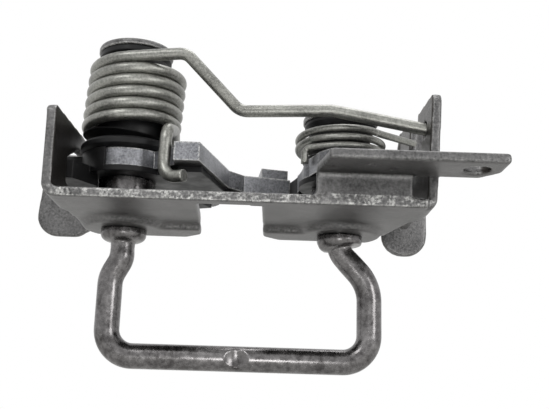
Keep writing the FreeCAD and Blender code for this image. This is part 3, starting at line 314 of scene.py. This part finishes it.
# The press tore the near edge as it sheared it. The tears stand out by up to their reach in three places,
# each given by its middle and half its width, and the rest of the edge is a little uneven. All in metres.
NEAR_EDGE_Y = -0.065
SHEET_TOP_Z = -0.0135
TEARS = ((-0.0172, 0.0016), (0.0118, 0.0010), (0.0206, 0.0044))
TEAR_REACH = 0.0011
TEAR_ELSEWHERE = 0.10
TEAR_WAVES = (0.0031, 0.0017, 0.0011)
TEAR_SLANT = 1.7
TEAR_PHASE = 9e3
TEAR_ENDS = 0.0012
TEAR_FADE = 0.0010
TEAR_FRONT = 0.001
TEAR_RISE = 0.0006


def torn_edge(places):
    """Towards -Y by reach x (three parabolic humps + a small share) x the square of the mean of three sine
    waves x a window, which is one at the near edge, fades inwards, and is nought above the sheet."""
    x, y, z = places.T
    torn = sum(np.clip(1 - ((x - middle) / half) ** 2, 0, 1) for middle, half in TEARS) + TEAR_ELSEWHERE
    wave = sum(np.sin(2 * math.pi * (x / length + z / (length * TEAR_SLANT)) + length * TEAR_PHASE)
               for length in TEAR_WAVES) / len(TEAR_WAVES)
    inwards = np.clip((NEAR_EDGE_Y + TEAR_ENDS - y) / TEAR_FADE, 0, 1)
    on_edge = inwards * (y > NEAR_EDGE_Y - TEAR_FRONT) * (z < SHEET_TOP_Z + TEAR_RISE)
    return -TEAR_REACH * torn * wave ** 2 * on_edge


# The sheet gets painted shade, strong on its walls' inner faces and light on its undersides.
sheet_steel = plated_steel("zinc_plated_sheet", "777676", "424242", 0.38, wear=0.85, stain=0.5, relief=0.6,
                           sheared=0.6, shade_depths=(0.85, 0.28))
plate_skin = softened("base_plate_skin", "base_plate", 0.00055, 9)
pushed_along_y(plate_skin, torn_edge)
plate_skin.data.materials.clear()
plate_skin.data.materials.append(sheet_steel)
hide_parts("base_plate")
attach(plate_skin, "base")
for cap in ("ratchet_cap", "pawl_cap"):
    dress(cap, sheet_steel)


# Bushes and covers: black acetal and nylon, injection moulded with a satin face, dusted with grey from use.
# The gloss changes softly from place to place, and a pale dust lies in the same clouds.
BLACK_HEX = "0b0b0c"
DUST_HEX = "232426"


def moulded_black(name, roughness):
    """Satin black plastic: a fine moulded grain, soft cloudy gloss and a touch of pale dust."""
    material, tree, output = new_material(name)
    spot = node(tree, "ShaderNodeTexCoord").outputs["Object"]
    grain = node(tree, "ShaderNodeTexNoise", {"Vector": spot, "Scale": 1000 / 0.7, "Detail": 3.0})
    cloud = node(tree, "ShaderNodeTexNoise", {"Vector": spot, "Scale": 1000 / 5.0, "Detail": 6.0})
    dust = node(tree, "ShaderNodeMapRange", {"Value": cloud.outputs[0], "From Min": 0.5, "From Max": 0.8,
                                             "To Max": 0.5})
    colour = node(tree, "ShaderNodeMix", {"Factor": dust.outputs[0], 6: linear(BLACK_HEX),
                                          7: linear(DUST_HEX)}, data_type="RGBA")
    gloss = node(tree, "ShaderNodeMapRange", {"Value": cloud.outputs[0], "From Min": 0.3, "From Max": 0.7,
                                              "To Min": roughness - 0.08, "To Max": roughness + 0.12})
    rounded = node(tree, "ShaderNodeBevel", {"Radius": 0.0005}, samples=4)
    relief = node(tree, "ShaderNodeBump", {"Height": grain.outputs[0], "Strength": 0.2, "Distance": 0.0001,
                                           "Normal": rounded.outputs[0]})
    plastic = node(tree, "ShaderNodeBsdfPrincipled", {"Base Color": colour.outputs[2], "IOR": 1.34,
                                                      "Roughness": gloss.outputs[0],
                                                      "Normal": relief.outputs[0]})
    tree.links.new(plastic.outputs[0], output.inputs[0])
    return material


black_moulding = moulded_black("moulded_acetal", 0.45)
for moulded in ("ratchet_bush", "pawl_bush", "ratchet_cover", "pawl_cover"):
    dress(moulded, black_moulding)


# Ratchet and pawl: thick steel blanks, fine cut and plated. They are paler than the sheet, their rims are
# rubbed bright, and their undersides are darkened with painted shade.
cut_steel = plated_steel("plated_blank", "a0a1a5", "57585c", 0.38, grain_mm=0.7, wear=0.9, stain=0.5,
                         shade_depths=(0.0, 0.75))
for blank in ("ratchet_plate", "pawl_plate"):
    dress(blank, cut_steel)


# Ratchet spring: 3.9 mm spring wire, coiled about the bush, bright zinc over a matt drawn skin. Its lower end
# is hooked round the ratchet's lug, and its long arm runs over the slot into the flange's hole.
MM = 0.001
EDGE_TO_EARS = 65.0
BOLTS_OVER_PLATE = 16.5
RATCHET_PIN = (-35.2, 36.0)
COIL_LOW_Z = 30.0
COIL_RADIUS = 14.5
COIL_PITCH = 3.98
COIL_TURNS = 5.75
COIL_LEAN = 3.5
HEAVY_WIRE = 3.9
JOINT_RINGS = 8
JOINT_SHARE = 0.9
RING_STEP = 0.7
ARM_RUN = 17.2
SHEARED_SHARE = 0.86


def seat(points):
    """Points drawn in millimetres from the plate's near edge, moved to the latch's frame in metres."""
    return (np.asarray(points, float) - [0.0, EDGE_TO_EARS, BOLTS_OVER_PLATE]) * MM


def coil_line(pin, radius, low_z, pitch, start, turns, lean=0.0, across=48):
    """A rising coil. Each half turn rises as half a cosine wave, as level half circles that are tilted do,
    and every point moves along X with its height, by the tangent of the lean."""
    turn = np.linspace(0.0, turns, math.ceil(turns * across) + 1)
    half = np.floor(turn * 2)
    rise = pitch / 2 * (half + (1 - np.cos(math.pi * (turn * 2 - half))) / 2)
    angle = math.radians(start) + 2 * math.pi * turn
    return np.column_stack([
        pin[0] + radius * np.cos(angle) + rise * math.tan(math.radians(lean)),
        pin[1] + radius * np.sin(angle),
        low_z + rise,
    ])


def bent_line(corners, bends, steps=14):
    """Straight runs through corners, with an arc of a radius at each inner corner. The arc's centre lies on
    the corner's bisector, and its points are centre + across cos t + along sin t."""
    corners = np.asarray(corners, float)
    pieces = [corners[:1]]
    for before, corner, after, bend in zip(corners, corners[1:], corners[2:], bends):
        back = (before - corner) / np.linalg.norm(before - corner)
        onward = (after - corner) / np.linalg.norm(after - corner)
        half = math.acos(np.dot(back, onward)) / 2
        centre = corner + (back + onward) / np.linalg.norm(back + onward) * bend / math.sin(half)
        first = corner + back * bend / math.tan(half) - centre
        t = np.linspace(0.0, math.pi - 2 * half, steps)[:, None]
        pieces.append(centre + first * np.cos(t) - back * bend * np.sin(t))
    pieces.append(corners[-1:])
    return np.concatenate(pieces)


def even_line(points, step):
    """The same line with its points an even step apart, read off along its length."""
    run = np.concatenate([[0.0], np.cumsum(np.linalg.norm(np.diff(points, axis=0), axis=1))])
    at = np.linspace(0.0, run[-1], math.ceil(run[-1] / step) + 1)
    return np.column_stack([np.interp(at, run, points[:, k]) for k in range(3)])


def wire_piece(name, line, width, around=24, sheared=(True, True)):
    """A round wire along a line: ring by ring, centre + r (side cos t + up sin t), where side is the line's
    direction crossed with a fixed slant. The width may change from ring to ring. A sheared end narrows over
    its last ring, and both ends are closed flat, with a crisp rim."""
    way = np.gradient(line, axis=0)
    way /= np.linalg.norm(way, axis=1, keepdims=True)
    side = np.cross(way, (0.2, 0.55, 0.81))
    side /= np.linalg.norm(side, axis=1, keepdims=True)
    up = np.cross(side, way)
    radius = np.broadcast_to(np.asarray(width, float) / 2, len(line))
    worn = [SHEARED_SHARE if cut else 1.0 for cut in sheared]
    ends = np.r_[0, np.arange(len(line)), len(line) - 1]
    radius = radius[ends] * np.r_[worn[0], np.ones(len(line)), worn[1]]
    t = np.linspace(0, 2 * math.pi, around, endpoint=False)
    ring = side[ends, None] * np.cos(t)[None, :, None] + up[ends, None] * np.sin(t)[None, :, None]
    points = line[ends, None] + ring * radius[:, None, None]
    rings = len(ends)
    i, j = np.meshgrid(np.arange(rings - 1), np.arange(around), indexing="ij")
    k = (j + 1) % around
    quads = np.stack([i * around + j, i * around + k, (i + 1) * around + k, (i + 1) * around + j], axis=-1)
    faces = quads.reshape(-1, 4)[:, ::-1].tolist()
    faces.append(list(range(around)))
    faces.append(list(range(rings * around - 1, (rings - 1) * around - 1, -1)))
    made = mesh_object(name, seat(points.reshape(-1, 3)), faces)
    pairs = np.empty(len(made.data.edges) * 2, dtype=np.int32)
    made.data.edges.foreach_get("vertices", pairs)
    of_ring = pairs.reshape(-1, 2) // around
    rim = (of_ring[:, 0] == of_ring[:, 1]) & np.isin(of_ring[:, 0], (0, rings - 1))
    made.data.attributes.new("sharp_edge", "BOOLEAN", "EDGE").data.foreach_set("value", rim)
    return made


spring_wire = plated_steel("zinc_plated_wire", "a3a39d", "636360", 0.34, grain_mm=0.7, wear=0.2, stain=0.35)
coil_points = coil_line(RATCHET_PIN, COIL_RADIUS, COIL_LOW_Z, COIL_PITCH, 0.0, COIL_TURNS, COIL_LEAN)
hook_points = bent_line([
    (-14.4, 12.2, 10.6),
    (-21.4, 16.2, 10.6),
    (-21.0, 16.8, 27.0),
    coil_points[0] + [0.6, -7.5, 0.2],
    coil_points[0],
], [5.2, 5.2, 9.0])
coil_line_even = even_line(np.concatenate([hook_points, coil_points[1:]]), RING_STEP)
coil_width = np.full(len(coil_line_even), HEAVY_WIRE)
coil_width[-JOINT_RINGS:] *= np.linspace(1.0, JOINT_SHARE, JOINT_RINGS)
coil_piece = wire_piece("ratchet_spring_coil", coil_line_even, coil_width, sheared=(True, False))
coil_piece.data.materials.append(spring_wire)
coil_end = coil_points[-1] - coil_points[-2]
shoulder = coil_points[-1] + coil_end * (ARM_RUN / coil_end[0])
arm_points = bent_line([
    coil_points[-1],
    shoulder,
    (1.5, 21.0, 35.0),
    (31.0, 18.0, 35.2),
    (62.9, 13.7, 27.9),
], [5.0, 6.0, 6.0])
arm_line = even_line(np.concatenate([coil_points[-4:-1], arm_points]), RING_STEP)
arm_width = np.full(len(arm_line), HEAVY_WIRE)
arm_width[:JOINT_RINGS] *= np.linspace(JOINT_SHARE, 1.0, JOINT_RINGS)
arm_piece = wire_piece("ratchet_spring_arm", arm_line, arm_width, sheared=(False, True))
arm_piece.data.materials.append(spring_wire)
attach(arm_piece, "base")
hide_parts("ratchet_spring")
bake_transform(coil_piece)


# Pawl spring: a lighter spring of 2.4 mm wire about the pawl's bush. Its foot bears on the pawl's side, and
# its upper leg rests on the edge of the far flange.
PAWL_PIN = (35.2, 36.0)
LIGHT_WIRE = 2.4
SMALL_RADIUS = 14.0
SMALL_LOW_Z = 25.2
SMALL_PITCH = 2.9
SMALL_START = 240.0
SMALL_TURNS = 2 + 80 / 360
SMALL_STEP = 0.5
SMALL_AROUND = 18
FOOT_RUN = 6.0
LEG_RUN = 3.6
small_coil = coil_line(PAWL_PIN, SMALL_RADIUS, SMALL_LOW_Z, SMALL_PITCH, SMALL_START, SMALL_TURNS)
away = small_coil[0] - small_coil[1]
away[2] = 0.0
foot_corner = small_coil[0] + away / np.linalg.norm(away) * FOOT_RUN
foot_points = bent_line([
    (foot_corner[0], foot_corner[1], 20.0),
    foot_corner,
    small_coil[0],
], [2.2])
small_line = even_line(np.concatenate([foot_points, small_coil[1:]]), SMALL_STEP)
small_piece = wire_piece("pawl_spring_coil", small_line, LIGHT_WIRE, around=SMALL_AROUND,
                         sheared=(True, False))
small_piece.data.materials.append(spring_wire)
onward = small_coil[-1] - small_coil[-2]
leg_points = bent_line([
    small_coil[-1],
    small_coil[-1] + onward / np.linalg.norm(onward) * LEG_RUN,
    (60.9, 39.5, 32.3),
], [4.4])
leg_line = even_line(leg_points, SMALL_STEP)
leg_piece = wire_piece("pawl_spring_leg", leg_line, LIGHT_WIRE, around=SMALL_AROUND, sheared=(False, True))
leg_piece.data.materials.append(spring_wire)
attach(leg_piece, "base")
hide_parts("pawl_spring")
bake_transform(small_piece)


# Pawl lip: a guess at how the pawl's black moulding ends. It goes on past the tooth, round the end of the
# ratchet's nose, at the nose's own radius plus a running gap, so that the two slide past each other. Its four
# long edges are centre + r (cos t, sin t), at an inner and an outer radius and a low and a high level.
LIP_INNER = 58.25
LIP_OUTER = 61.0
LIP_LOW_Z = 14.2
LIP_TOP_Z = 21.6
LIP_FROM = 10.0
LIP_TO = 22.5
turn = np.radians(np.linspace(LIP_FROM, LIP_TO, 15))
around_pin = np.column_stack([np.cos(turn), np.sin(turn)])
count = len(turn)
edges = ((LIP_INNER, LIP_LOW_Z), (LIP_OUTER, LIP_LOW_Z), (LIP_OUTER, LIP_TOP_Z), (LIP_INNER, LIP_TOP_Z))
rows = [np.column_stack([np.asarray(RATCHET_PIN) + around_pin * radius, np.full(count, level)])
        for radius, level in edges]
faces = [(b * count + i, b * count + i + 1, a * count + i + 1, a * count + i)
         for a, b in ((0, 1), (1, 2), (2, 3), (3, 0)) for i in range(count - 1)]
faces += [(0, count, 2 * count, 3 * count), tuple(k * count + count - 1 for k in (3, 2, 1, 0))]
lip = mesh_object("pawl_cover_lip", seat(np.concatenate(rows)), faces, smooth=False)
lip.data.materials.append(black_moulding)
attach(lip, "pawl")


# Guard loop: an 8 mm round bar, bent cold. A collar is upset on each shank below the floor, the tips are
# staked over the caps, and a tool has left a dimple in the front of the lower run. It is bare drawn steel
# under oil, darker and smoother than the plated sheet, so that it shows the lamps as crisp highlights.
BAR = 8.0
LOOP_DROP = 42.3
COLLAR_RADIUS = 7.35
COLLAR_TOP_Z = -2.0
COLLAR_FULL_Z = -3.4
COLLAR_LOW_Z = -6.0
COLLAR_SHARPNESS = 2.2
NECK_DEPTH = 0.15
NECK_Z = -8.0
NECK_SPREAD = 1.8
STAKE_RADIUS = 5.6
STAKE_FLAT = 0.2
STAKE_SLOPE = 1.5
DIMPLE_X = 3.0
DIMPLE_REACH = (3.8, 2.9)
DIMPLE_DEPTH = 1.6
RATCHET_TIP = 62.1
PAWL_TIP = 40.1

bar_line = even_line(bent_line([
    (-35.2, 36.0, RATCHET_TIP),
    (-35.2, 36.0, -11.5),
    (-38.4, 36.0, -17.5),
    (-38.4, 36.0, -LOOP_DROP),
    (45.0, 36.0, -LOOP_DROP),
    (45.0, 36.0, -17.5),
    (35.2, 36.0, -7.0),
    (35.2, 36.0, PAWL_TIP),
], [7.0, 10.0, 8.5, 8.5, 14.0, 6.0], steps=24), 0.3)
tall = bar_line[:, 2]
fall = np.clip((COLLAR_FULL_Z - tall) / (COLLAR_FULL_Z - COLLAR_LOW_Z), 0, 1)
bulge = np.sqrt(1 - fall ** COLLAR_SHARPNESS) * (tall < COLLAR_TOP_Z)
tip = np.where(bar_line[:, 0] < 0, RATCHET_TIP, PAWL_TIP)
stake = 1 - np.clip((tip - tall - STAKE_FLAT) / STAKE_SLOPE, 0, 1) ** 4
neck = -NECK_DEPTH * np.exp(-((tall - NECK_Z) / NECK_SPREAD) ** 2)
girth = BAR / 2 + neck + np.maximum(bulge * (COLLAR_RADIUS - BAR / 2), stake * (STAKE_RADIUS - BAR / 2))
bar_piece = wire_piece("guard_loop_bar", bar_line, girth * 2, around=48)


def dimple(places):
    """Depth x (1 - the square of the distance from the middle, in shares of the reach), on the front half."""
    off = (places - seat((DIMPLE_X, 36.0, -LOOP_DROP))) / MM
    reach = (off[:, 0] / DIMPLE_REACH[0]) ** 2 + (off[:, 2] / DIMPLE_REACH[1]) ** 2
    return np.where(off[:, 1] < 0, DIMPLE_DEPTH * MM * np.clip(1 - reach, 0, 1), 0.0)


pushed_along_y(bar_piece, dimple)
bar_steel = plated_steel("oiled_bar", "858383", "3f3d3d", 0.24, grain_mm=2.2, wear=0.1, stain=0.35,
                         metal=1.0, relief=0.16)
bar_piece.data.materials.append(bar_steel)
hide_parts("guard_loop")
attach(bar_piece, "base")
for ring in ("ratchet_spacer", "pawl_spacer"):
    dress(ring, bar_steel)
